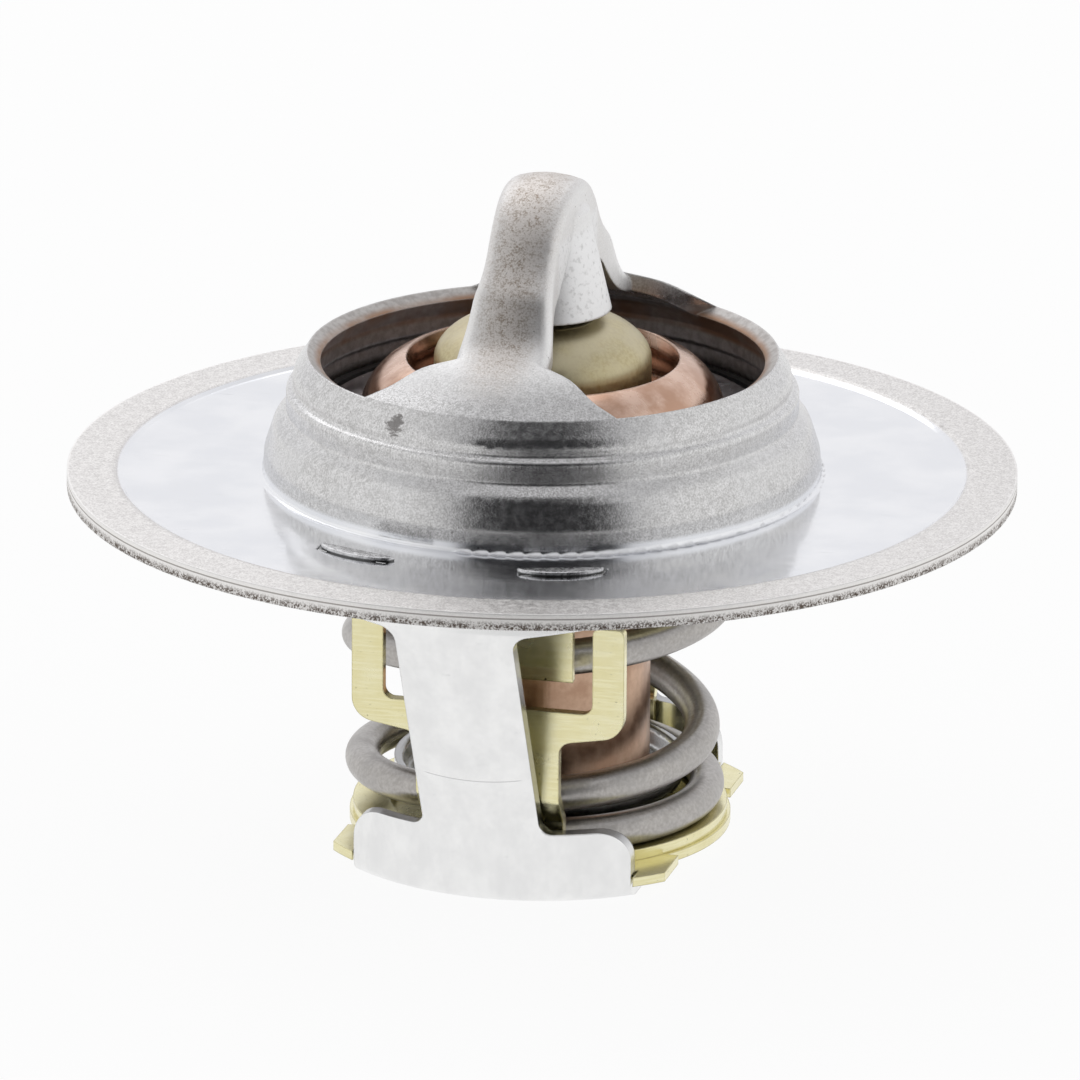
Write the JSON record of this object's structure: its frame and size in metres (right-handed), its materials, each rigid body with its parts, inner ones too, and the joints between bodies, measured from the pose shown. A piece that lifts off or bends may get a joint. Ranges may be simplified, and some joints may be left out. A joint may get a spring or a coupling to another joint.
{
  "type": "engine thermostat",
  "caption": "Wax-pellet coolant thermostat: stamped flange with raised collar and bridge, spring-loaded sliding valve, staked legs and a gilt latch cage.",
  "frame": {"origin": "centre of the flange rim at mid-thickness", "axes": "+Z along the valve axis towards the bridge; the two legs stand at -Y and +Y"},
  "size_m": [0.0549, 0.0548, 0.0396],
  "materials": {
    "stamped_steel": "grained, tumbled",
    "smooth_steel": "smooth, plated",
    "gilt_steel": "pale yellow plated",
    "spring_steel": "satin",
    "piston_steel": "ground",
    "copper": "bare copper",
    "dull_brass": "dull",
    "seal_rubber": "moulded",
    "wax": "copper-filled wax"
  },
  "bodies": {
    "housing": {"flange_bridge": "stamped_steel", "front_leg": "smooth_steel", "rear_leg": "smooth_steel", "lower_plate": "gilt_steel", "latch_cage": "gilt_steel", "guide_cup": "smooth_steel", "piston": "piston_steel", "main_spring": "spring_steel"},
    "valve": {"valve_disc": "smooth_steel", "valve_seal": "seal_rubber", "valve_hub": "copper", "wax_cup": "copper", "boot": "seal_rubber", "wax_charge": "wax", "guide_cap": "dull_brass", "piston_seal": "seal_rubber", "latch_plate": "gilt_steel"}
  },
  "joints": [
    {"name": "valve_slide", "type": "slide", "parent": "housing", "child": "valve", "axis": [0, 0, -1], "range_m": [0, 0.0065], "stiffness_N_per_m": 2000, "springref_m": -0.003, "deforming": ["main_spring"]}
  ]
}
